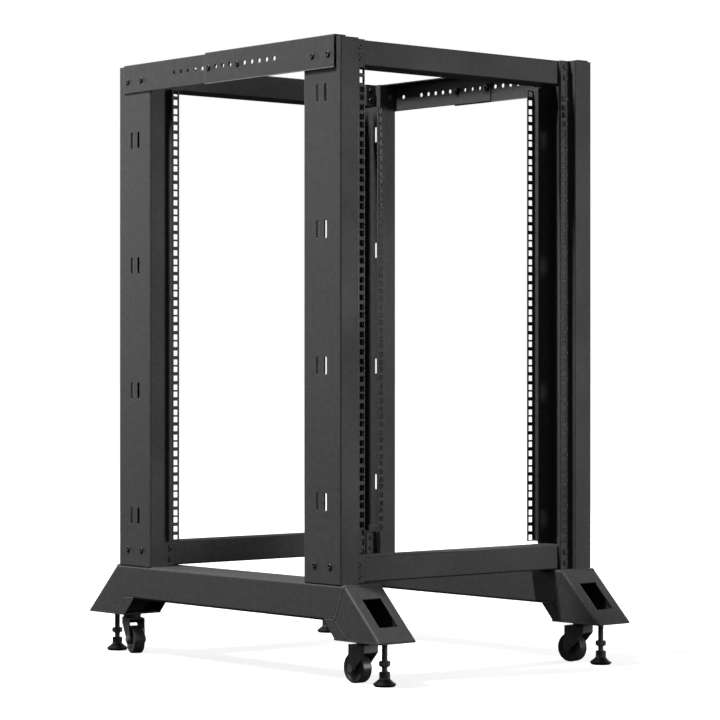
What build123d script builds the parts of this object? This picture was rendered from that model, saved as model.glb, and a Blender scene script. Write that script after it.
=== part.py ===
from build123d import *
import os

# Four post open frame rack for 19-inch equipment, bent from sheet steel, standing on two base
# rails with mitred 45 degree legs, swivel casters and levelling feet.
# Millimetres. X runs across the rack, Y from the front (-Y) to the rear (+Y), Z up.
# The origin is on the floor, under the middle of the rack.

os.makedirs("parts", exist_ok=True)

# ---------------------------------------------------------------- overall sizes
WIDTH = 577.2              # over the side plates of the posts
DEPTH = 613.0              # over the outer faces of the posts
UNIT = 44.45               # one rack unit
POST_UNITS = 20            # length of a post
END_UNITS = 1              # length without equipment holes at each end of a post
POST_FOOT = 161.0          # height of the posts' lower ends above the floor
SHEET = 2.0                # wall of the posts, crossbars and top rails
BEND = 0.5                 # inside radius of their bends
HALF_WIDTH = WIDTH / 2
FRONT = -DEPTH / 2         # plane of the front posts' outer faces
POST_LENGTH = POST_UNITS * UNIT
POST_TOP = POST_FOOT + POST_LENGTH

# ---------------------------------------------------------------- posts
BAY_WIDTH = 450.0          # clear opening between the hole flanges
FLANGE_WIDTH = 23.6        # hole flange, from the bay to the web behind the outer face
FACE_WIDTH = (WIDTH - BAY_WIDTH) / 2 - FLANGE_WIDTH   # outer face, and the inner panel
SIDE_PLATE = 93.7          # depth of a post's side plate
HOLE_INSET = 7.55          # outer hole column beside the bay, 465.1 from left to right
INNER_HOLE_INSET = 16.4    # inner hole column beside the bay, 482.8 from left to right
FLANGE_SETBACK = 12.3      # hole flange behind the outer face, end tab behind the inner panel
LIP = 5.4                  # stiffening lip on the edge of the flange and the tabs
STRIP_STEP = 11.6          # inner hole strip beyond the inner panel
STRIP_WIDTH = 14.6
RELIEF = 3.5               # notch between an end tab and the hole strip
SQUARE_HOLE = 9.5
UNIT_HOLES = (6.35, 22.225, 38.1)
SLOT_LENGTH = 30.0
SLOT_WIDTH = 6.5
SLOT_INSETS = (38.0, 58.0) # from the outer face
SLOT_ROWS = 4
SLOT_STEP = 5 * UNIT
# The posts come in two hands, one the other turned upside down, so the lowest pair of slots
# stands this many units above the post's lower end:
SLOT_UNITS = {"front_left": 3, "front_right": 2, "rear_left": 2, "rear_right": 3}

# ---------------------------------------------------------------- crossbars
BAR_HEIGHT = 42.0
BAR_DEPTH = 50.0
BAR_BEND = 0.8             # inside radius of their bends
BAR_PLAY = 2.6             # between a crossbar's end and the post
BAR_LENGTH = BAY_WIDTH + 2 * (FLANGE_WIDTH - BAR_PLAY)
BAR_SCREW_BESIDE_BAY = 12.0
BAR_SCREW_X = BAY_WIDTH / 2 + BAR_SCREW_BESIDE_BAY
BAR_SCREW_INSETS = (11.0, 30.0)  # from the end of the post
PAD_RADIUS = 8.0

# ---------------------------------------------------------------- top side rails
RAIL_WEB = 50.0            # height of the inner section, flange included
RAIL_FLANGE = 25.0
RAIL_ROUNDING = 1.6        # outside of the bend
RAIL_OVERLAP = 49.0        # each section runs this far past the middle of the rack
FRONT_SECTION_INSET = 12.0
REAR_SECTION_INSET = 16.5
RAIL_HOLE_RADIUS = 4.0
RAIL_HOLE_STEP = 20.0
RAIL_HOLE_BELOW_TOP = 22.2 # below the top of the posts
RAIL_LAST_HOLE = 140.0     # from the middle of the rack
RAIL_SCREW = 40.0          # joint screws fill the holes this far from the middle
RAIL_END_SCREWS = (27.5, 67.5)   # from the outer face of the post
RAIL_END_SCREW_BELOW_TOP = 27.0
EXTRA_HOLE_Y = 190.5       # one more hole in the right rear section

# ---------------------------------------------------------------- base
TUBE_WIDTH = 80.0
TUBE_HEIGHT = 60.0
TUBE_WALL = 2.5
TUBE_ROUNDING = 5.0        # outer radius of the tube's long edges
TUBE_OVERHANG = 8.5        # tube's top edge in front of the posts
MITRE = TUBE_HEIGHT * (2 ** 0.5 - 1)   # set back of the mitre at the tube's bottom
PLATE_TOP = 74.0           # foot plate above the floor
LEG_DROP = POST_FOOT - PLATE_TOP       # from the top of the tube to the cut end of the leg
WINDOW_WIDTH = 40.5
WINDOW_LENGTH = 61.0       # along the slope
WINDOW_DROP = LEG_DROP / 2 # height of the window's middle below the tube's top
LUG_LENGTH = 66.0
LUG_HEIGHT = 50.0
LUG_THICK = 3.0
LUG_SINK = 2.0             # let into the wall of the tube
PLATE_THICK = 3.0
PLATE_BACK = 16.5          # inner edge of the foot plate behind the posts' outer face
GUSSET_TOP = 41.5          # inner end of the gusset at the base rail
TUBE_X = HALF_WIDTH - TUBE_WIDTH / 2
PLATE_BOTTOM = PLATE_TOP - PLATE_THICK

# ---------------------------------------------------------------- casters
PIN_OUT = 16.5             # swivel pin in front of the posts' outer face
HEAD_RADIUS = 15.6
PIN_RADIUS = 4.0
PIN_HEAD_RADIUS = 7.0
PIN_HEAD = 2.0
RUNNING = 0.05             # radial clearance of turning and sliding fits
GAP = 0.3                  # axial gap at the swivel
HEAD_HEIGHT = 7.2          # ball race between the foot plate and the fork
FORK_TOP = PLATE_BOTTOM - HEAD_HEIGHT - GAP
FORK_SHEET = 2.5
FORK_WIDTH = 30.0
FORK_FRONT = 13.0          # fork plate ahead of the pin
FORK_BACK = 27.0           # fork plate behind the pin
SKIRT_HEIGHT = 12.0        # skirt that closes the front of the fork
TRAIL = 20.5
WHEEL_RADIUS = 25.0
WHEEL_WIDTH = 20.0
WHEEL_EDGE = 2.0
RIM_RADIUS = 18.5          # the wheel's sides are recessed between the hub and this
RIM_RECESS = 1.5
HUB_RADIUS = 8.0
HUB_WIDTH = 24.0
BOSS_RADIUS = 9.0
AXLE_RADIUS = 4.0
AXLE_HEAD_RADIUS = 6.5
AXLE_HEAD = 2.5
REST_TURNS = {"front_left": 0.0, "front_right": 8.0, "rear_left": 162.0, "rear_right": 180.0}

# ---------------------------------------------------------------- levelling feet
LEVELLER_OUT = 62.5        # stud in front of the posts' outer face
STUD_RADIUS = 5.0
STUD_TOP = 88.0            # above the floor
COLLAR_TOP = 23.5
COLLAR_BOTTOM = 13.5
COLLAR_RADIUS = 8.85
BELL_FOOT_RADIUS = 16.0    # on the floor
BELL_RADIUS = 18.7         # where it is widest
BELL_LOW = 3.0             # heights of its widest part
BELL_HIGH = 4.5
BELL_NECK_RADIUS = 10.0
BELL_NECK_DROP = 2.0       # below the collar
HEX_RADIUS = 9.5
HEX_BOTTOM = 33.0
HEX_HEIGHT = 8.0


def bent_sheet(points, height, bottom):
    """Sheet bent along a plan line, given by its middle, standing from bottom upwards."""
    line = FilletPolyline(*points, radius=BEND + SHEET / 2)
    section = trace(line, line_width=SHEET)
    return Pos(0, 0, bottom) * extrude(section, height, dir=(0, 0, 1))


def post(slot_units):
    """Front right post: side plate, two faces, flange and strip with square holes, end tabs."""
    half = SHEET / 2
    side = HALF_WIDTH - half
    web = HALF_WIDTH - FACE_WIDTH + half
    edge = BAY_WIDTH / 2 + half
    face = FRONT + half
    flange = FRONT + FLANGE_SETBACK + half
    lip_end = FRONT + FLANGE_SETBACK + LIP
    panel = FRONT + SIDE_PLATE - half
    strip = panel + STRIP_STEP
    tab = panel - FLANGE_SETBACK
    tab_end = FRONT + SIDE_PLATE - FLANGE_SETBACK - LIP
    strip_end = HALF_WIDTH - FACE_WIDTH - STRIP_WIDTH

    outer = [(edge, lip_end), (edge, flange), (web, flange), (web, face), (side, face), (side, panel)]
    inner = [(web, panel), (web, strip), (strip_end, strip)]
    tabbed = [(web, panel), (web, tab), (edge, tab), (edge, tab_end)]
    plain = [(HALF_WIDTH - FACE_WIDTH, panel)]

    end = END_UNITS * UNIT
    tab_height = end - RELIEF
    body = bent_sheet(outer + inner, POST_LENGTH - 2 * end, POST_FOOT + end)
    for bottom in (POST_FOOT, POST_TOP - tab_height):
        body += bent_sheet(outer + tabbed, tab_height, bottom)
    for bottom in (POST_FOOT + tab_height, POST_TOP - end):
        body += bent_sheet(outer + plain, RELIEF, bottom)

    cuts = []
    for unit in range(END_UNITS, POST_UNITS - END_UNITS):
        for offset in UNIT_HOLES:
            z = POST_FOOT + unit * UNIT + offset
            cutter = Box(SQUARE_HOLE, 3 * SHEET, SQUARE_HOLE)
            cuts.append(Pos(BAY_WIDTH / 2 + HOLE_INSET, flange, z) * cutter)
            cuts.append(Pos(BAY_WIDTH / 2 + INNER_HOLE_INSET, strip, z) * cutter)
    slot = extrude(SlotOverall(SLOT_LENGTH, SLOT_WIDTH), 3 * SHEET / 2, both=True)
    for row in range(SLOT_ROWS):
        for inset in SLOT_INSETS:
            z = POST_FOOT + slot_units * UNIT + row * SLOT_STEP
            cuts.append(Pos(side, FRONT + inset, z) * Rot(0, 90, 0) * slot)
    return body - cuts


def crossbar(web_front, bottom):
    """Channel between a left and a right post, open to the rear, with four screw pads."""
    web = web_front + SHEET / 2
    open_side = web_front + BAR_DEPTH
    low = bottom + SHEET / 2
    high = bottom + BAR_HEIGHT - SHEET / 2
    points = [(open_side, low), (web, low), (web, high), (open_side, high)]
    line = FilletPolyline(*points, radius=BAR_BEND + SHEET / 2)
    section = Plane.YZ * trace(line, line_width=SHEET)
    return extrude(section, BAR_LENGTH / 2, both=True)


def bar_pads(web_front, post_end, direction):
    """Pads on a crossbar's web, which bear on the inside of the flanges or tabs."""
    pads = []
    reach = LIP - SHEET
    for side in (-1, 1):
        for inset in BAR_SCREW_INSETS:
            spot = Pos(side * BAR_SCREW_X, web_front - reach / 2, post_end + direction * inset)
            pads.append(spot * Rot(90, 0, 0) * Cylinder(PAD_RADIUS, reach))
    return pads


def top_rail(outer_face, top, near, far):
    """Angle section on the right of the rack: web outside the posts, flange over them."""
    length = far - near
    height = RAIL_WEB + 2 * (top - POST_TOP - SHEET)
    web = Box(SHEET, length, height, align=(Align.MAX, Align.MIN, Align.MAX))
    flange = Box(RAIL_FLANGE, length, SHEET, align=(Align.MAX, Align.MIN, Align.MAX))
    rail = web + flange
    corner = rail.edges().filter_by(Axis.Y).group_by(Axis.Z)[-1].sort_by(Axis.X)[-1]
    return Pos(outer_face, near, top) * fillet(corner, RAIL_ROUNDING)


def rail_holes(first, last, outer_face):
    """Cutters for the row of round holes, leaving out the two that the joint screws fill."""
    cuts = []
    count = round((last - first) / RAIL_HOLE_STEP) + 1
    for index in range(count):
        y = first + index * RAIL_HOLE_STEP
        if abs(abs(y) - RAIL_SCREW) > RAIL_HOLE_STEP / 2:
            cuts.append(rail_hole(y, outer_face))
    return cuts


def rail_hole(y, outer_face):
    cutter = Rot(0, 90, 0) * Cylinder(RAIL_HOLE_RADIUS, 3 * SHEET)
    return Pos(outer_face - SHEET / 2, y, POST_TOP - RAIL_HOLE_BELOW_TOP) * cutter


def front_section():
    """Outer section, held off the post by two pads and lying over the rear section."""
    outer_face = HALF_WIDTH + 2 * SHEET
    rail = top_rail(outer_face, POST_TOP + 2 * SHEET, FRONT + FRONT_SECTION_INSET, RAIL_OVERLAP)
    for inset in RAIL_END_SCREWS:
        pad = Rot(0, 90, 0) * Cylinder(PAD_RADIUS, SHEET)
        x = HALF_WIDTH + SHEET / 2
        rail += Pos(x, FRONT + inset, POST_TOP - RAIL_END_SCREW_BELOW_TOP) * pad
    return rail - rail_holes(-RAIL_LAST_HOLE, RAIL_SCREW, outer_face)


def rear_section(extra_hole):
    """Inner section, flat on the side plate and the top of the rear post."""
    outer_face = HALF_WIDTH + SHEET
    rail = top_rail(outer_face, POST_TOP + SHEET, -RAIL_OVERLAP, -FRONT - REAR_SECTION_INSET)
    cuts = rail_holes(-RAIL_SCREW, RAIL_LAST_HOLE, outer_face)
    if extra_hole:
        cuts.append(rail_hole(EXTRA_HOLE_Y, outer_face))
    return rail - cuts


def side_prism(points, width, x):
    """Solid with a side outline of (Y, Z) points, centred on x."""
    outline = make_face(Polyline(*points, close=True))
    return Pos(x, 0, 0) * extrude(Plane.YZ * outline, width / 2, both=True)


def tube(points, axis, hollow):
    """Rectangular tube along an axis: outer side outline with rounded long edges, less a bore."""
    body = side_prism(points, TUBE_WIDTH, TUBE_X)
    body = fillet(body.edges().filter_by(axis), TUBE_ROUNDING)
    bore = side_prism(hollow, TUBE_WIDTH - 2 * TUBE_WALL, TUBE_X)
    bore = fillet(bore.edges().filter_by(axis), TUBE_ROUNDING - TUBE_WALL)
    return body - bore


def base_rail():
    """Right base tube, mitred at both ends, with an upright lug inside each post."""
    reach = -FRONT + TUBE_OVERHANG
    bottom = POST_FOOT - TUBE_HEIGHT
    points = [(-reach, POST_FOOT), (reach, POST_FOOT), (reach - MITRE, bottom), (MITRE - reach, bottom)]
    roof = POST_FOOT - TUBE_WALL
    floor = bottom + TUBE_WALL
    hollow = [(-2 * reach, roof), (2 * reach, roof), (2 * reach, floor), (-2 * reach, floor)]
    body = tube(points, Axis.Y, hollow)
    height = LUG_HEIGHT + LUG_SINK
    lug = Box(LUG_THICK, LUG_LENGTH, height, align=(Align.MAX, Align.CENTER, Align.MIN))
    for side in (-1, 1):
        y = side * (-FRONT - SIDE_PLATE / 2)
        body += Pos(HALF_WIDTH - SHEET, y, POST_FOOT - LUG_SINK) * lug
    return body


def leg():
    """Front right leg: the tube's mitred end, sloping out at 45 degrees, with its window."""
    top_y = FRONT - TUBE_OVERHANG
    across = TUBE_HEIGHT * 2 ** 0.5
    wall = TUBE_WALL * 2 ** 0.5
    far_y = top_y - LEG_DROP
    points = [
        (top_y, POST_FOOT),
        (far_y, PLATE_TOP),
        (far_y + across, PLATE_TOP),
        (top_y + MITRE, POST_FOOT - TUBE_HEIGHT),
    ]
    reach = LEG_DROP
    hollow = [
        (top_y + wall + reach, POST_FOOT + reach),
        (far_y + wall - reach, PLATE_TOP - reach),
        (far_y + across - wall - reach, PLATE_TOP - reach),
        (top_y + across - wall + reach, POST_FOOT + reach),
    ]
    body = tube(points, Axis((0, 0, 0), (0, 1, 1)), hollow)
    window = Box(WINDOW_WIDTH, WINDOW_LENGTH, 4 * TUBE_WALL)
    spot = Pos(TUBE_X, top_y - WINDOW_DROP, POST_FOOT - WINDOW_DROP)
    return body - spot * Rot(45, 0, 0) * window


def foot_plate():
    """Front right foot plate: closes the leg, with two gussets and a nut for the stud."""
    near = FRONT - TUBE_OVERHANG - LEG_DROP
    length = FRONT + PLATE_BACK - near
    plate = Box(TUBE_WIDTH, length, PLATE_THICK, align=(Align.CENTER, Align.MIN, Align.MAX))
    corners = plate.edges().filter_by(Axis.Z).group_by(Axis.Y)[0]
    body = Pos(TUBE_X, near, PLATE_TOP) * fillet(corners, TUBE_ROUNDING)
    heel = near + TUBE_HEIGHT * 2 ** 0.5
    rail_bottom = POST_FOOT - TUBE_HEIGHT
    points = [
        (heel, PLATE_TOP),
        (FRONT - TUBE_OVERHANG + MITRE, rail_bottom),
        (FRONT + GUSSET_TOP, rail_bottom),
        (FRONT + PLATE_BACK, PLATE_TOP),
    ]
    for side in (-1, 1):
        x = TUBE_X + side * (TUBE_WIDTH - PLATE_THICK) / 2
        body += side_prism(points, PLATE_THICK, x)
    spot = Pos(TUBE_X, FRONT - LEVELLER_OUT, PLATE_TOP)
    body += spot * extrude(RegularPolygon(HEX_RADIUS, 6), HEX_HEIGHT)
    return body - spot * Cylinder(STUD_RADIUS + RUNNING, 4 * HEX_HEIGHT)


def caster_head():
    """Fixed half of a caster, pin axis on Z: bearing disc and pin with its riveted end."""
    disc_bottom = FORK_TOP + GAP
    disc = Cylinder(HEAD_RADIUS, PLATE_BOTTOM - disc_bottom, align=(Align.CENTER, Align.CENTER, Align.MAX))
    pin_end = FORK_TOP - FORK_SHEET - GAP
    pin = Cylinder(PIN_RADIUS, PLATE_BOTTOM - pin_end, align=(Align.CENTER, Align.CENTER, Align.MAX))
    rivet = Cylinder(PIN_HEAD_RADIUS, PIN_HEAD, align=(Align.CENTER, Align.CENTER, Align.MAX))
    return Pos(0, 0, PLATE_BOTTOM) * (disc + pin) + Pos(0, 0, pin_end) * rivet


def caster_fork():
    """Turning half of a caster, pin axis on Z, trailing towards +Y, with its axle bolt."""
    length = FORK_FRONT + FORK_BACK
    plate = Box(FORK_WIDTH, length, FORK_SHEET, align=(Align.CENTER, Align.MIN, Align.MAX))
    skirt = Box(FORK_WIDTH, FORK_SHEET, SKIRT_HEIGHT, align=(Align.CENTER, Align.MIN, Align.MAX))
    body = Pos(0, -FORK_FRONT, FORK_TOP) * (plate + skirt)
    points = [
        (-FORK_FRONT, FORK_TOP),
        (-FORK_FRONT, FORK_TOP - SKIRT_HEIGHT),
        (TRAIL - BOSS_RADIUS, WHEEL_RADIUS),
        (TRAIL + BOSS_RADIUS, WHEEL_RADIUS),
        (FORK_BACK, FORK_TOP - SKIRT_HEIGHT),
        (FORK_BACK, FORK_TOP),
    ]
    axle_spot = Pos(0, TRAIL, WHEEL_RADIUS) * Rot(0, 90, 0)
    for side in (-1, 1):
        x = side * (FORK_WIDTH - FORK_SHEET) / 2
        body += side_prism(points, FORK_SHEET, x)
        body += Pos(x, 0, 0) * axle_spot * Cylinder(BOSS_RADIUS, FORK_SHEET)
        head_x = side * (FORK_WIDTH + AXLE_HEAD) / 2
        body += Pos(head_x, 0, 0) * axle_spot * Cylinder(AXLE_HEAD_RADIUS, AXLE_HEAD)
    body += axle_spot * Cylinder(AXLE_RADIUS, FORK_WIDTH)
    return body - Pos(0, 0, FORK_TOP) * Cylinder(PIN_RADIUS + RUNNING, 4 * FORK_SHEET)


def caster_wheel():
    """Wheel with recessed sides and a wider hub, on the trailing axle of the fork."""
    tread = Cylinder(WHEEL_RADIUS, WHEEL_WIDTH)
    tread = fillet(tread.edges().filter_by(GeomType.CIRCLE), WHEEL_EDGE)
    for side in (-1, 1):
        middle = side * (WHEEL_WIDTH - RIM_RECESS) / 2
        tread -= Pos(0, 0, middle) * Cylinder(RIM_RADIUS, RIM_RECESS)
    wheel = tread + Cylinder(HUB_RADIUS, HUB_WIDTH) - Cylinder(AXLE_RADIUS + RUNNING, 2 * HUB_WIDTH)
    return Pos(0, TRAIL, WHEEL_RADIUS) * Rot(0, 90, 0) * wheel


def leveller_stud():
    """Threaded stud with its hexagon, axis on Z."""
    stud = Cylinder(STUD_RADIUS, STUD_TOP - COLLAR_TOP, align=(Align.CENTER, Align.CENTER, Align.MIN))
    hexagon = extrude(RegularPolygon(HEX_RADIUS, 6), HEX_HEIGHT)
    return Pos(0, 0, COLLAR_TOP) * stud + Pos(0, 0, HEX_BOTTOM) * hexagon


def leveller_pad():
    """Bell shaped pad under the stud, axis on Z."""
    points = [
        (0, 0),
        (BELL_FOOT_RADIUS, 0),
        (BELL_RADIUS, BELL_LOW),
        (BELL_RADIUS, BELL_HIGH),
        (BELL_NECK_RADIUS, COLLAR_BOTTOM - BELL_NECK_DROP),
        (COLLAR_RADIUS, COLLAR_BOTTOM),
        (COLLAR_RADIUS, COLLAR_TOP),
        (0, COLLAR_TOP),
    ]
    return revolve(Plane.XZ * make_face(Polyline(*points, close=True)), Axis.Z)


def save(shape, name):
    shape.label = name
    export_step(shape, f"parts/{name}.step")


def to_corner(shape, end, side):
    """Moves a front right piece to another corner by mirroring."""
    if side == "left":
        shape = mirror(shape, about=Plane.YZ)
    if end == "rear":
        shape = mirror(shape, about=Plane.XZ)
    return shape


def build():
    posts = {units: post(units) for units in set(SLOT_UNITS.values())}
    corner_leg = leg()
    corner_plate = foot_plate()
    for end, out in (("front", -1), ("rear", 1)):
        for side, across in (("left", -1), ("right", 1)):
            corner = f"{end}_{side}"
            save(to_corner(posts[SLOT_UNITS[corner]], end, side), f"post_{corner}")
            save(to_corner(corner_leg, end, side), f"leg_{corner}")
            save(to_corner(corner_plate, end, side), f"foot_plate_{corner}")
            pin = Pos(across * TUBE_X, out * (-FRONT + PIN_OUT), 0)
            turned = pin * Rot(0, 0, REST_TURNS[corner])
            save(pin * caster_head(), f"caster_head_{corner}")
            save(turned * caster_fork(), f"caster_fork_{corner}")
            save(turned * caster_wheel(), f"caster_wheel_{corner}")
            stud = Pos(across * TUBE_X, out * (-FRONT + LEVELLER_OUT), 0)
            save(stud * leveller_stud(), f"leveller_stud_{corner}")
            save(stud * leveller_pad(), f"leveller_pad_{corner}")

    front_web = FRONT + FLANGE_SETBACK + LIP
    rear_web = -FRONT - SIDE_PLATE + FLANGE_SETBACK + LIP
    for end, web_front in (("front", front_web), ("rear", rear_web)):
        low = crossbar(web_front, POST_FOOT) + bar_pads(web_front, POST_FOOT, 1)
        high = crossbar(web_front, POST_TOP - BAR_HEIGHT) + bar_pads(web_front, POST_TOP, -1)
        save(low, f"crossbar_bottom_{end}")
        save(high, f"crossbar_top_{end}")

    for side in ("left", "right"):
        save(to_corner(base_rail(), "front", side), f"base_rail_{side}")
        save(to_corner(front_section(), "front", side), f"top_rail_front_{side}")
        save(to_corner(rear_section(side == "right"), "front", side), f"top_rail_rear_{side}")


build()
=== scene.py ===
import bpy, bmesh, math
from mathutils import Matrix, Vector


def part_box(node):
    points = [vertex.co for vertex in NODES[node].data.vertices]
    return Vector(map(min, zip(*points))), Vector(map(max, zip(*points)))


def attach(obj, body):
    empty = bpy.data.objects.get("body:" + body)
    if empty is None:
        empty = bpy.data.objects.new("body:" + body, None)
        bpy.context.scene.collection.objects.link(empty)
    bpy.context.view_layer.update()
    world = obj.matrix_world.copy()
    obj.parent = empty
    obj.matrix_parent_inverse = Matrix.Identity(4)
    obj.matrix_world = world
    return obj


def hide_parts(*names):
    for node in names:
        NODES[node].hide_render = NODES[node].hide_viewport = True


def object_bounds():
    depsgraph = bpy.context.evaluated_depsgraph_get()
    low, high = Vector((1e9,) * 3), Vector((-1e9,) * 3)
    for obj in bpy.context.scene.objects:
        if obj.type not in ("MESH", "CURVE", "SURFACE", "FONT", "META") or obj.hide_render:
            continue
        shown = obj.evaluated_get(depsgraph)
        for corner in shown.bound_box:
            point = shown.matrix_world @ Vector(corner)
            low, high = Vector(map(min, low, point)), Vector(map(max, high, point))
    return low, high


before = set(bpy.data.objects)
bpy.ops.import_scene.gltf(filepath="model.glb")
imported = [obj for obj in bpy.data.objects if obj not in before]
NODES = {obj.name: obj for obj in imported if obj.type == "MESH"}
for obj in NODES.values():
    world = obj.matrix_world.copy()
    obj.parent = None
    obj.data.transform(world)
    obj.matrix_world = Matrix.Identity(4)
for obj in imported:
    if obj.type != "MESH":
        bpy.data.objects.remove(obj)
CAD_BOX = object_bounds()
MM = 0.001
SIDES = {"left": -1, "right": 1}
ENDS = {"front": -1, "rear": 1}

# Corners and planes of the rack, read from the CAD nodes.
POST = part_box("post_front_right")
BASE_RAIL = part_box("base_rail_right")
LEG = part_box("leg_front_right")
HALF_WIDTH = POST[1].x
HALF_DEPTH = -POST[0].y
POST_FOOT = POST[0].z
POST_TOP = POST[1].z
TUBE_BOTTOM = BASE_RAIL[0].z
TUBE_END = BASE_RAIL[1].y
PLATE_TOP = LEG[0].z
RAIL_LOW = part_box("top_rail_front_left")[0].z

# Sizes of the rack, as in the CAD source.
SIDE_PLATE = 93.7 * MM           # depth of a post's side plate
FLANGE_SETBACK = 12.3 * MM       # hole flange behind the outer face, end tab behind the inner panel
FRONT_FLANGE = -HALF_DEPTH + FLANGE_SETBACK
REAR_TAB = HALF_DEPTH - SIDE_PLATE + FLANGE_SETBACK
TUBE_WIDTH = 80 * MM
TUBE_ROUNDING = 5 * MM
GUSSET_END = 41.5 * MM           # inner end of a gusset behind the posts' outer face
MITRE_ANGLE = math.radians(22.5)
UNIT = 44.45 * MM
UNITS = 18
COLUMN_SPACING_MM = 465.1        # between the outer hole columns


# ------------------------------------------------------------------ node helpers
def new_material(name):
    """Empty node material: the material, its tree and its output."""
    material = bpy.data.materials.new(name)
    material.use_nodes = True
    tree = material.node_tree
    tree.nodes.clear()
    out = tree.nodes.new("ShaderNodeOutputMaterial")
    return material, tree, out


def add(tree, kind, **inputs):
    """Node with the given input values; _ in a name stands for a space."""
    node = tree.nodes.new(kind)
    for key, value in inputs.items():
        node.inputs[key.replace("_", " ")].default_value = value
    return node


def ramp(tree, source, stops):
    """Colour ramp through (place, grey or colour) stops."""
    node = tree.nodes.new("ShaderNodeValToRGB")
    elements = node.color_ramp.elements
    elements.remove(elements[-1])
    for index, (place, colour) in enumerate(stops):
        element = elements[0] if index == 0 else elements.new(place)
        element.position = place
        if not isinstance(colour, tuple):
            colour = (colour, colour, colour)
        element.color = (*colour, 1)
    tree.links.new(source, node.inputs["Fac"])
    return node.outputs["Color"]


def math_node(tree, operation, a, b):
    """Math node; a and b are numbers or sockets."""
    node = tree.nodes.new("ShaderNodeMath")
    node.operation = operation
    for socket, value in zip(node.inputs, (a, b)):
        if isinstance(value, (int, float)):
            socket.default_value = value
        else:
            tree.links.new(value, socket)
    return node.outputs["Value"]


def mix(tree, blend, factor, a, b):
    """Colour mix; the factor and both colours are values or sockets."""
    node = tree.nodes.new("ShaderNodeMix")
    node.data_type = "RGBA"
    node.blend_type = blend
    for key, value in (("Factor", factor), ("A", a), ("B", b)):
        socket = node.inputs[key]
        if isinstance(value, (int, float, tuple)):
            socket.default_value = value
        else:
            tree.links.new(value, socket)
    return node.outputs["Result"]


# Cosine between a face's normal and the softened one, where it counts as flat and as an edge.
FLAT_COSINE = 0.985
EDGE_COSINE = 0.80


def edge_mask(tree, radius):
    """Two sockets: a mask that is 1 on sharp edges and 0 on flat faces, and the softened normal."""
    bevel = tree.nodes.new("ShaderNodeBevel")
    bevel.samples = 6
    bevel.inputs["Radius"].default_value = radius
    geometry = tree.nodes.new("ShaderNodeNewGeometry")
    dot = tree.nodes.new("ShaderNodeVectorMath")
    dot.operation = "DOT_PRODUCT"
    tree.links.new(bevel.outputs["Normal"], dot.inputs[0])
    tree.links.new(geometry.outputs["Normal"], dot.inputs[1])
    span = tree.nodes.new("ShaderNodeMapRange")
    span.inputs["From Min"].default_value = FLAT_COSINE
    span.inputs["From Max"].default_value = EDGE_COSINE
    tree.links.new(dot.outputs["Value"], span.inputs["Value"])
    return span.outputs["Result"], bevel.outputs["Normal"]


def height_band(tree, place, low, high):
    """Mask that is 1 between two heights above the floor."""
    split = tree.nodes.new("ShaderNodeSeparateXYZ")
    tree.links.new(place, split.inputs[0])
    above = math_node(tree, "GREATER_THAN", split.outputs["Z"], low)
    below = math_node(tree, "LESS_THAN", split.outputs["Z"], high)
    return math_node(tree, "MULTIPLY", above, below)


# ------------------------------------------------------------------ materials
MOTTLING = 0.16                  # share by which the patches of a finish differ from its colour
SPECKLING = 0.2                  # the same for its grain and specks
GLOSS_SPREAD = 0.05              # roughness above and below its mean


def coat(name, colour, edge, rough, grain, bevel, depth, gloss_level=0.5, band=None):
    """Finish with fine grain, slight mottling, uneven gloss and paler edges: painted highlight and wear.

    rough is the mean roughness, grain the size of the grain, bevel how far the paler edges
    reach, depth the height of the grain, and gloss_level the shader's specular level.
    band is (low, high, colour) for a strip of another colour between two heights.
    """
    material, tree, out = new_material(name)
    links = tree.links
    shader = add(tree, "ShaderNodeBsdfPrincipled", IOR=1.5, Specular_IOR_Level=gloss_level)
    place = tree.nodes.new("ShaderNodeTexCoord").outputs["Object"]

    fine = add(tree, "ShaderNodeTexNoise", Scale=1 / grain, Detail=2.0, Roughness=0.55)
    mottle = add(tree, "ShaderNodeTexNoise", Scale=90.0, Detail=5.0, Roughness=0.6)
    grainy = add(tree, "ShaderNodeTexNoise", Scale=420.0, Detail=3.0, Roughness=0.6)
    broad = add(tree, "ShaderNodeTexNoise", Scale=7.0, Detail=3.0, Roughness=0.5)
    for noise in (fine, mottle, grainy, broad):
        links.new(place, noise.inputs["Vector"])

    mask, rounded = edge_mask(tree, bevel)
    darker = tuple(c * (1 - MOTTLING) for c in colour)
    paler = tuple(c * (1 + MOTTLING) for c in colour)
    specks = [(0.3, 1 - SPECKLING), (0.7, 1 + SPECKLING)]
    tone = ramp(tree, mottle.outputs["Fac"], [(0.3, darker), (0.7, paler)])
    speck = ramp(tree, fine.outputs["Fac"], specks)
    cloud = ramp(tree, grainy.outputs["Fac"], specks)
    tinted = mix(tree, "MULTIPLY", 1.0, mix(tree, "MULTIPLY", 1.0, tone, speck), cloud)
    # paler edge colour: a painted highlight along the edges, which also stands for wear
    edged = mix(tree, "MIX", mask, tinted, (*edge, 1))
    if band:
        low, high, band_colour = band
        edged = mix(tree, "MIX", height_band(tree, place, low, high), edged, (*band_colour, 1))
    links.new(edged, shader.inputs["Base Color"])

    gloss = ramp(tree, broad.outputs["Fac"], [(0.3, rough - GLOSS_SPREAD), (0.7, rough + GLOSS_SPREAD)])
    links.new(gloss, shader.inputs["Roughness"])
    bump = add(tree, "ShaderNodeBump", Strength=0.5, Distance=depth)
    links.new(fine.outputs["Fac"], bump.inputs["Height"])
    links.new(rounded, bump.inputs["Normal"])
    links.new(bump.outputs["Normal"], shader.inputs["Normal"])
    links.new(shader.outputs["BSDF"], out.inputs["Surface"])
    return material


def frame_coat(name, band=None):
    """Black powder coat of the posts, bars, rails and feet."""
    # edge: paler colour on the edges, a painted highlight that also stands for wear
    return coat(name, colour=(0.044, 0.044, 0.0448), edge=(0.085, 0.085, 0.086), rough=0.5,
                grain=0.55 * MM, bevel=1.2 * MM, depth=0.04 * MM, gloss_level=0.3, band=band)
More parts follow.
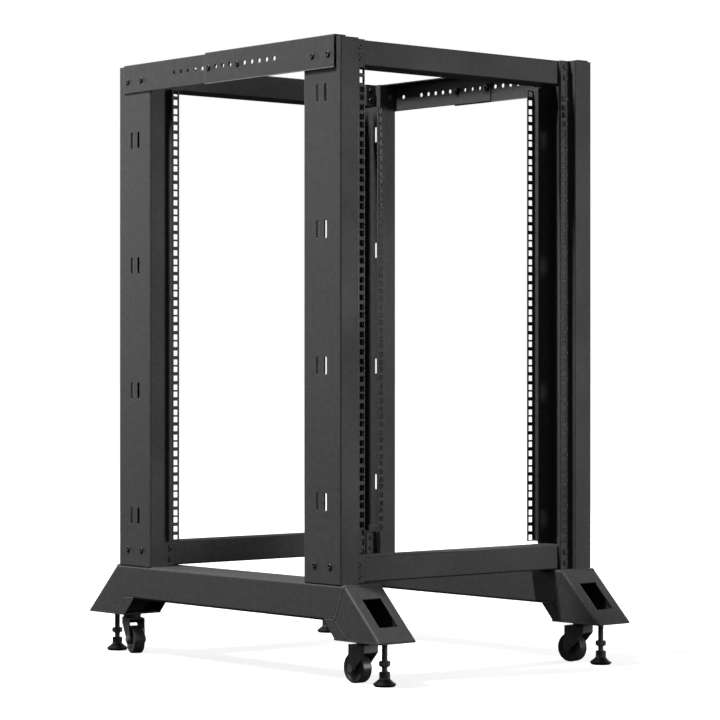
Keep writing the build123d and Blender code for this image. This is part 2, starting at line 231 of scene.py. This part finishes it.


# Strips of another colour: a painted highlight along the lower edge of a front rail section, and the
# collar on top of a levelling pad.
PAINTED_RAIL_HIGHLIGHT = (RAIL_LOW - MM, RAIL_LOW + 1.3 * MM, (0.20, 0.20, 0.20))
COLLAR = (12.5 * MM, 40 * MM, (0.06, 0.06, 0.061))
FRAME = frame_coat("powder_coat")
RAIL_WITH_PAINTED_HIGHLIGHT = frame_coat("rail_coat_painted_highlight", band=PAINTED_RAIL_HIGHLIGHT)
HARDWARE = coat("black_plating", colour=(0.09, 0.09, 0.091), edge=(0.16, 0.16, 0.162), rough=0.42,
                grain=1.2 * MM, bevel=0.5 * MM, depth=0.02 * MM)
PAD = coat("pad_plating", colour=(0.010, 0.010, 0.0105), edge=(0.05, 0.05, 0.051), rough=0.30,
           grain=1.2 * MM, bevel=0.5 * MM, depth=0.02 * MM, gloss_level=0.2, band=COLLAR)
SCREW = coat("black_screw", colour=(0.010, 0.010, 0.0105), edge=(0.05, 0.05, 0.052), rough=0.42,
             grain=0.8 * MM, bevel=0.3 * MM, depth=0.01 * MM)
WHEEL = coat("wheel_polymer", colour=(0.050, 0.050, 0.050), edge=(0.08, 0.08, 0.08), rough=0.36,
             grain=3 * MM, bevel=0.6 * MM, depth=0.02 * MM)
INK = coat("white_ink", colour=(0.42, 0.42, 0.42), edge=(0.42, 0.42, 0.42), rough=0.6,
           grain=0.3 * MM, bevel=0.05 * MM, depth=0.005 * MM)


# ------------------------------------------------------------------ mesh helpers
CORNER_STEPS = 6                 # of a rounded quarter turn


def skin(build, rings, place=Matrix(), caps=True):
    """Joins closed rings of points with quads, and closes both ends unless caps is false."""
    rows = [[build.verts.new(place @ Vector(p)) for p in points] for points in rings]
    for a, b in zip(rows, rows[1:]):
        for i in range(len(a)):
            j = (i + 1) % len(a)
            build.faces.new((a[i], a[j], b[j], b[i]))
    if caps:
        build.faces.new(reversed(rows[0]))
        build.faces.new(rows[-1])


def ring(steps, height, radius):
    """Ring about Z; radius is a number or a function of the angle."""
    points = []
    for i in range(steps):
        angle = 2 * math.pi * i / steps
        reach = radius(angle) if callable(radius) else radius
        points.append((reach * math.cos(angle), reach * math.sin(angle), height))
    return points


def lathe(build, profile, place=Matrix(), steps=32):
    """Turns a line of (radius, height) points about Z."""
    skin(build, [ring(steps, height, radius) for radius, height in profile], place)


def facing(spot, direction):
    """Placement with Z along a direction."""
    turn = Vector(direction).to_track_quat("Z", "Y").to_matrix().to_4x4()
    return Matrix.Translation(spot) @ turn


def piece(name, build, material, body, smooth=40):
    """Makes an object of a finished bmesh and lets it ride on a body."""
    bmesh.ops.recalc_face_normals(build, faces=build.faces)
    mesh = bpy.data.meshes.new(name)
    build.to_mesh(mesh)
    build.free()
    mesh.materials.append(material)
    mesh.shade_smooth()
    mesh.set_sharp_from_angle(angle=math.radians(smooth))
    obj = bpy.data.objects.new(name, mesh)
    bpy.context.scene.collection.objects.link(obj)
    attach(obj, body)
    return obj


# A hexagon's chamfers: share of its height, and of half its width across flats where it is cut round.
CHAMFERS = ((0, 1.02), (0.09, 1.12), (0.14, 1.2), (0.86, 1.2), (0.91, 1.12), (1, 1.02))


def hex_radius(angle, flats, limit):
    """Radius of a hexagon at an angle, cut off at a limit."""
    turned = (angle + math.pi / 6) % (math.pi / 3) - math.pi / 6
    return min(flats / math.cos(turned), limit)


def hex_prism(build, bottom, height, flats, place):
    """Hexagon with its corners chamfered round; flats is half the width across them."""
    steps = 72
    rings = []
    for rise, reach in CHAMFERS:
        limit = flats * reach
        rings.append(ring(steps, bottom + rise * height, lambda angle: hex_radius(angle, flats, limit)))
    skin(build, rings, place)


# ------------------------------------------------------------------ screws
SCREW_RADIUS = 5.0 * MM
SCREW_HEIGHT = 2.3 * MM
SCREW_SKIRT = 0.6 * MM           # how far the rim reaches down below the rounding
SCREW_TOP = 0.72                 # share of the radius that is flat on top
SCREW_ROUND = 0.28               # share that the rounding takes up
RIM_HEIGHT = 0.25                # share of the height at the rim
CROWN_HEIGHT = 0.75              # share from there to the top
FIRST_TURN = 25                  # degrees that the first screw's recess is turned
NEXT_TURN = 37                   # degrees from one screw to the next


def recess(x, y):
    """Depth of a cross recess at a place on the screw's head."""
    half_arm = 0.75 * MM
    reach = 2.5 * MM
    depth = 1.5 * MM
    fall = 0.6
    along = max(abs(x), abs(y))
    beside = min(abs(x), abs(y))
    if beside > half_arm or along > reach:
        return 0
    return depth * (1 - fall * along / reach)


def screw_head(build, place):
    """Pan head with a cross recess, its underside at the placement's origin."""
    steps = 48
    rings = []
    for turn in range(CORNER_STEPS + 1):
        angle = math.radians(90 * turn / CORNER_STEPS)
        height = SCREW_HEIGHT * (RIM_HEIGHT + CROWN_HEIGHT * math.sin(angle)) - SCREW_SKIRT * (turn == 0)
        radius = SCREW_RADIUS * (SCREW_TOP + SCREW_ROUND * math.cos(angle))
        rings.append(ring(steps, height, radius))
    levels = 10
    for level in range(levels):
        radius = SCREW_RADIUS * SCREW_TOP * (1 - (level + 1) / (levels + 0.5))
        rings.append([(x, y, SCREW_HEIGHT - recess(x, y)) for x, y, _ in ring(steps, 0, radius)])
    skin(build, rings, place)


def screws(name, spots, direction):
    """Piece of screw heads that face a direction, each with its recess turned another way."""
    build = bmesh.new()
    for index, spot in enumerate(spots):
        turn = Matrix.Rotation(math.radians(FIRST_TURN + NEXT_TURN * index), 4, "Z")
        screw_head(build, facing(spot, direction) @ turn)
    piece(name, build, SCREW, "frame", smooth=30)


def nuts(name, spots, direction):
    """Piece of hexagon nuts, each with the chamfered end of its screw standing out of it."""
    nut_height = 5.2 * MM
    half_flats = 5.5 * MM
    screw_end = [(3.0 * MM, 4.0 * MM), (3.0 * MM, 7.4 * MM), (2.5 * MM, 8.0 * MM)]
    build = bmesh.new()
    for spot in spots:
        place = facing(spot, direction)
        hex_prism(build, 0, nut_height, half_flats, place)
        lathe(build, screw_end, place, steps=20)
    piece(name, build, SCREW, "frame", smooth=35)


def crossbar_screws():
    """Two screws at each end of the four crossbars, on the posts' front flanges and rear tabs."""
    across = 237 * MM
    insets = (11 * MM, 30 * MM)
    for end, plane in (("front", FRONT_FLANGE), ("rear", REAR_TAB)):
        for level, start, step in (("bottom", POST_FOOT, 1), ("top", POST_TOP, -1)):
            spots = [(x_sign * across, plane, start + step * inset)
                     for x_sign in SIDES.values() for inset in insets]
            screws(f"screws_crossbar_{level}_{end}", spots, (0, -1, 0))


def side_screws():
    """Screws of the top rails' ends, of their joints and of the posts' feet, and the joints' nuts."""
    insets = (27.5 * MM, 67.5 * MM)
    foot_shift = 1 * MM
    rail_height = POST_TOP - 27 * MM
    foot_height = POST_FOOT + 29 * MM
    joint_height = POST_TOP - 22.2 * MM
    joint_places = (-40 * MM, 40 * MM)
    both_walls = 4 * MM
    for side, x_sign in SIDES.items():
        for end, y_sign in ENDS.items():
            face = x_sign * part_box(f"top_rail_{end}_right")[1].x
            rail = [(face, y_sign * (HALF_DEPTH - inset), rail_height) for inset in insets]
            foot = [(x_sign * HALF_WIDTH, y_sign * (HALF_DEPTH - inset + foot_shift), foot_height)
                    for inset in insets]
            screws(f"screws_rail_{end}_{side}", rail, (x_sign, 0, 0))
            screws(f"screws_foot_{end}_{side}", foot, (x_sign, 0, 0))
        face = x_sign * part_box("top_rail_front_right")[1].x
        inside = face - x_sign * both_walls
        screws(f"screws_joint_{side}", [(face, y, joint_height) for y in joint_places], (x_sign, 0, 0))
        nuts(f"nuts_joint_{side}", [(inside, y, joint_height) for y in joint_places], (-x_sign, 0, 0))


# ------------------------------------------------------------------ unit numbers
NUMBER_SIZE = 5.2 * MM
NUMBER_BESIDE_MM = 9.6           # from the middle of a hole to the middle of its number


def number_mesh(text):
    """Mesh of a printed number, centred on the origin."""
    curve = bpy.data.curves.new("number", "FONT")
    curve.body = text
    curve.size = NUMBER_SIZE
    curve.align_x = "CENTER"
    curve.align_y = "CENTER"
    curve.resolution_u = 3
    curve.extrude = 0.03 * MM
    holder = bpy.data.objects.new("number", curve)
    mesh = bpy.data.meshes.new_from_object(holder)
    bpy.data.objects.remove(holder)
    bpy.data.curves.remove(curve)
    return mesh


def unit_numbers():
    """Rack units counted from the bottom, printed beside the outer holes of all four posts."""
    meshes = [number_mesh(str(unit + 1)) for unit in range(UNITS)]
    across = (COLUMN_SPACING_MM / 2 + NUMBER_BESIDE_MM) * MM
    middle_of_first = 1.5        # units above the post's foot, because the holes start one unit up
    for end, y_sign in ENDS.items():
        for side, x_sign in SIDES.items():
            build = bmesh.new()
            for unit, mesh in enumerate(meshes):
                height = POST_FOOT + UNIT * (unit + middle_of_first)
                place = facing((x_sign * across, y_sign * -FRONT_FLANGE, height), (0, y_sign, 0))
                start = len(build.verts)
                build.from_mesh(mesh)
                build.verts.ensure_lookup_table()
                upright = Matrix.Rotation(math.pi if y_sign < 0 else 0, 4, "Z")
                bmesh.ops.transform(build, matrix=place @ upright, verts=build.verts[start:])
            piece(f"unit_numbers_{end}_{side}", build, INK, "frame")
    for mesh in meshes:
        bpy.data.meshes.remove(mesh)


# ------------------------------------------------------------------ welds
BEAD_RADIUS = 3.0 * MM
BEAD_SINK = 2.55 * MM            # of the bead's middle under the face it stands on
BEAD_STEP = 0.9 * MM             # from one ring of a bead to the next
BEAD_END = 0.6                   # share of the radius at a bead's ends
RIPPLE = 0.035                   # short waves, as a share of the radius
RIPPLE_TURN = 1.9                # radians of them from ring to ring
SWELL = 0.02                     # the same for long waves
SWELL_TURN = 0.53
MITRE_TOP = Vector((0, -TUBE_END, LEG[1].z))
MITRE_LOW = Vector((0, -TUBE_END + (LEG[1].z - TUBE_BOTTOM) * math.tan(MITRE_ANGLE), TUBE_BOTTOM))


def bead(build, path, outward, closed):
    """Rippled weld bead along a path; outward gives the way it stands proud at each point."""
    steps = 12
    count = len(path)
    rings = []
    for i, (point, out) in enumerate(zip(path, outward)):
        ahead = path[(i + 1) % count] if closed or i < count - 1 else point
        behind = path[i - 1] if closed or i > 0 else point
        along = (ahead - behind).normalized()
        beside = along.cross(out).normalized()
        radius = BEAD_RADIUS * (1 + RIPPLE * math.sin(i * RIPPLE_TURN) + SWELL * math.sin(i * SWELL_TURN))
        if not closed and i in (0, count - 1):
            radius *= BEAD_END
        centre = point - out * BEAD_SINK
        rings.append([centre + radius * (math.cos(t) * out + math.sin(t) * beside)
                      for t in (2 * math.pi * k / steps for k in range(steps))])
    if closed:
        rings.append(rings[0])
    skin(build, rings, caps=not closed)


def straight(start, end):
    """Evenly spaced points from start to end."""
    count = max(2, round((end - start).length / BEAD_STEP))
    return [start.lerp(end, i / count) for i in range(count + 1)]


def mitre_outline():
    """Points all round the front right mitre, its corners rounded, and the way outward at each."""
    up = (MITRE_TOP - MITRE_LOW).normalized()
    tall = (MITRE_TOP - MITRE_LOW).length
    middle = (MITRE_TOP + MITRE_LOW) / 2
    half_width = TUBE_WIDTH / 2
    centre_x = HALF_WIDTH - half_width
    path = []
    outward = []
    for x_sign, z_sign in ((1, 1), (-1, 1), (-1, -1), (1, -1)):
        for k in range(CORNER_STEPS + 1):
            first = math.degrees(math.atan2(z_sign, x_sign)) - 45
            angle = math.radians(first + 90 * k / CORNER_STEPS)
            out = Vector((math.cos(angle), 0, 0)) + math.sin(angle) * up
            corner = (Vector((centre_x + x_sign * (half_width - TUBE_ROUNDING), 0, 0)) + middle
                      + z_sign * (tall / 2 - TUBE_ROUNDING) * up)
            path.append(corner + TUBE_ROUNDING * out)
            outward.append(out)
    dense = []
    dense_out = []
    for i, point in enumerate(path):
        after = (i + 1) % len(path)
        run = straight(point, path[after])
        for k, spot in enumerate(run[:-1]):
            dense.append(spot)
            dense_out.append(outward[i].lerp(outward[after], k / len(run)).normalized())
    return dense, dense_out


def welds():
    """Beads round each mitre, and on both sides of each gusset: down the leg and along the tube."""
    outline, outline_out = mitre_outline()
    heel = Vector((0, MITRE_LOW.y - (TUBE_BOTTOM - PLATE_TOP), PLATE_TOP))
    gusset_end = Vector((0, -HALF_DEPTH + GUSSET_END, TUBE_BOTTOM))
    onto_leg = Vector((0, -1, 1)) * 0.9 * MM
    onto_tube = Vector((0, 0, 1.4 * MM))
    runs = ((MITRE_LOW + onto_leg, heel + onto_leg), (MITRE_LOW + onto_tube, gusset_end + onto_tube))
    for end, y_sign in ENDS.items():
        for side, x_sign in SIDES.items():
            place = Matrix.Diagonal((x_sign, -y_sign, 1, 1))
            build = bmesh.new()
            bead(build, [place @ p for p in outline], [place @ o for o in outline_out], True)
            for face, out in ((HALF_WIDTH, 1), (HALF_WIDTH - TUBE_WIDTH, -1)):
                side_out = place @ Vector((out, 0, 0))
                shift = Vector((face, 0, 0))
                for start, finish in runs:
                    run = straight(place @ (start + shift), place @ (finish + shift))
                    bead(build, run, [side_out] * len(run), False)
            piece(f"welds_{end}_{side}", build, FRAME, "frame")


# ------------------------------------------------------------------ levelling feet
THREAD_PITCH = 1.5 * MM
THREAD_CREST = 5 * MM
THREAD_ROOT = 4.45 * MM
THREAD_RUN_OUT = 1.5 * MM        # over which the thread fades at the stud's upper end
ROWS_PER_TURN = 4
HEX_ABOVE_PAD = 9.5 * MM
HEX_HEIGHT = 8 * MM
HEX_CORNER = 9.5 * MM            # from the middle to a corner


def above_floor(node):
    """A node's box, and the placement on the floor under its middle."""
    low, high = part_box(node)
    middle = (low + high) / 2
    return low, high, Matrix.Translation((middle.x, middle.y, 0))


def stud(corner):
    """Threaded stud with a chamfered hexagon, in place of the plain CAD stud."""
    name = f"leveller_stud_{corner}"
    low, high, place = above_floor(name)
    build = bmesh.new()

    steps = 24
    rows = round((high.z - low.z) / THREAD_PITCH * ROWS_PER_TURN)
    rings = []
    for row in range(rows + 1):
        height = low.z + (high.z - low.z) * row / rows
        points = []
        for k in range(steps):
            angle = 2 * math.pi * k / steps
            phase = (height / THREAD_PITCH + k / steps) % 1
            crest = 1 - abs(2 * phase - 1)
            taper = min(1, (high.z - height) / THREAD_RUN_OUT)
            radius = THREAD_ROOT + (THREAD_CREST - THREAD_ROOT) * crest * taper
            points.append((radius * math.cos(angle), radius * math.sin(angle), height))
        rings.append(points)
    skin(build, rings, place)

    bottom = low.z + HEX_ABOVE_PAD
    hex_prism(build, bottom, HEX_HEIGHT, HEX_CORNER * math.cos(math.pi / 6), place)
    washer = [(6.6 * MM, bottom - 1.2 * MM), (7.2 * MM, bottom - 0.8 * MM), (7.2 * MM, bottom + 0.2 * MM)]
    lathe(build, washer, place)
    body = f"leveller_{corner}"
    obj = piece(f"threaded_{name}", build, HARDWARE, body, smooth=35)
    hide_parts(name)


# ------------------------------------------------------------------ casters
def race(corner):
    """Pressed ring of the swivel's ball race, just under the foot plate."""
    low, high, place = above_floor(f"caster_head_{corner}")
    build = bmesh.new()
    top = high.z
    rim = (high.x - low.x) / 2
    inner = rim - 3 * MM
    outer = rim + 1.2 * MM
    bottom = top - 2.8 * MM
    outline = [(inner, top), (rim + 0.9 * MM, top), (outer, top - 0.6 * MM),
               (outer, top - 2.0 * MM), (rim + 0.4 * MM, bottom), (inner, bottom)]
    lathe(build, outline, place, steps=48)
    piece(f"race_{corner}", build, HARDWARE, "frame", smooth=35)


def finish_nodes():
    """Gives every CAD node its finish."""
    for name, node in NODES.items():
        if "wheel" in name:
            material = WHEEL
        elif "leveller_pad" in name:
            material = PAD
        elif "caster" in name or "leveller" in name:
            material = HARDWARE
        elif "top_rail_front" in name:
            # the front rail sections carry a painted highlight strip along their lower edge
            material = RAIL_WITH_PAINTED_HIGHLIGHT
        else:
            material = FRAME
        node.data.materials.clear()
        node.data.materials.append(material)


# ------------------------------------------------------------------ stage
def floor_material():
    """White with the rack's shadow to the camera, and dark to everything else.

    The glow grows with the distance from the rack, so that the floor is white near the rack,
    where the lamps light it too, and out to the horizon, where they don't.
    """
    material, tree, out = new_material("studio_floor")
    path = tree.nodes.new("ShaderNodeLightPath")
    seen = add(tree, "ShaderNodeBsdfDiffuse", Color=(0.5, 0.5, 0.5, 1))
    glow = add(tree, "ShaderNodeEmission", Color=(1, 1, 1, 1))
    away = tree.nodes.new("ShaderNodeVectorMath")
    away.operation = "LENGTH"
    tree.links.new(tree.nodes.new("ShaderNodeTexCoord").outputs["Object"], away.inputs[0])
    reach = add(tree, "ShaderNodeMapRange", From_Min=0.9, From_Max=2.5, To_Min=0.80, To_Max=0.97)
    tree.links.new(away.outputs["Value"], reach.inputs["Value"])
    tree.links.new(reach.outputs["Result"], glow.inputs["Strength"])
    dark = add(tree, "ShaderNodeBsdfDiffuse", Color=(0.02, 0.02, 0.02, 1))
    both = tree.nodes.new("ShaderNodeAddShader")
    tree.links.new(seen.outputs[0], both.inputs[0])
    tree.links.new(glow.outputs[0], both.inputs[1])
    pick = tree.nodes.new("ShaderNodeMixShader")
    tree.links.new(path.outputs["Is Camera Ray"], pick.inputs["Fac"])
    tree.links.new(dark.outputs[0], pick.inputs[1])
    tree.links.new(both.outputs[0], pick.inputs[2])
    tree.links.new(pick.outputs[0], out.inputs["Surface"])
    return material


def make_floor():
    """Floor of the stage, under the rack and out to the horizon."""
    mesh = bpy.data.meshes.new("studio_floor")
    build = bmesh.new()
    bmesh.ops.create_grid(build, x_segments=8, y_segments=8, size=60)
    build.to_mesh(mesh)
    build.free()
    mesh.materials.append(floor_material())
    floor = bpy.data.objects.new("studio_floor", mesh)
    bpy.context.scene.collection.objects.link(floor)
    floor.location.z = CAD_BOX[0].z


def make_world():
    """Dome that brightens upwards, dimmer as a light than in reflections; the camera sees white."""
    world = bpy.data.worlds.new("studio")
    bpy.context.scene.world = world
    world.use_nodes = True
    tree = world.node_tree
    tree.nodes.clear()
    out = tree.nodes.new("ShaderNodeOutputWorld")
    path = tree.nodes.new("ShaderNodeLightPath")
    split = tree.nodes.new("ShaderNodeSeparateXYZ")
    tree.links.new(tree.nodes.new("ShaderNodeTexCoord").outputs["Generated"], split.inputs[0])
    dome = ramp(tree, split.outputs["Z"], [(0.0, 0.08), (0.3, 0.22), (1.0, 0.5)])
    lit = add(tree, "ShaderNodeBackground", Strength=0.6)
    shown = add(tree, "ShaderNodeBackground", Strength=1.0)
    seen = add(tree, "ShaderNodeBackground", Color=(1, 1, 1, 1), Strength=1.0)
    tree.links.new(dome, lit.inputs["Color"])
    tree.links.new(dome, shown.inputs["Color"])
    shader = lit.outputs[0]
    rays = (("Is Glossy Ray", shown), ("Is Transmission Ray", seen), ("Is Camera Ray", seen))
    for ray, other in rays:
        pick = tree.nodes.new("ShaderNodeMixShader")
        tree.links.new(path.outputs[ray], pick.inputs["Fac"])
        tree.links.new(shader, pick.inputs[1])
        tree.links.new(other.outputs[0], pick.inputs[2])
        shader = pick.outputs[0]
    tree.links.new(shader, out.inputs["Surface"])


def lamp(name, place, target, width, height, power):
    """Elliptical area lamp that faces a target."""
    data = bpy.data.lights.new(name, "AREA")
    data.shape = "ELLIPSE"
    data.size = width
    data.size_y = height
    data.energy = power
    obj = bpy.data.objects.new(name, data)
    bpy.context.scene.collection.objects.link(obj)
    obj.location = place
    obj.rotation_euler = (Vector(target) - Vector(place)).to_track_quat("-Z", "Y").to_euler()


def make_camera():
    """Level camera, 4.7 m from the rack's middle, to the left of its front, at about half its height."""
    data = bpy.data.cameras.new("camera")
    data.sensor_width = 36
    data.lens = 132.9
    data.shift_y = 0.0124
    data.clip_end = 100
    camera = bpy.data.objects.new("camera", data)
    bpy.context.scene.collection.objects.link(camera)
    camera.location = (-3.066, -3.586, 0.511)
    camera.rotation_euler = (math.radians(90), 0, math.radians(-40.68))
    bpy.context.scene.camera = camera


finish_nodes()
crossbar_screws()
side_screws()
unit_numbers()
welds()
for end in ENDS:
    for side in SIDES:
        stud(f"{end}_{side}")
        race(f"{end}_{side}")

make_floor()
make_world()
lamp("key", place=(-2.3, 0.5, 4.5), target=(0, 0, 0.4), width=0.4, height=1.4, power=440)
lamp("fill", place=(3.0, -4.4, 0.8), target=(0, 0, 0.5), width=2.0, height=2.0, power=96)
lamp("right", place=(4.4, 1.6, 1.2), target=(0, 0, 0.5), width=2.0, height=2.0, power=65)
lamp("rear", place=(-1.1, 4.9, 1.3), target=(0, 0, 0.5), width=2.0, height=2.0, power=60)
make_camera()

bpy.context.scene.view_settings.view_transform = "Standard"
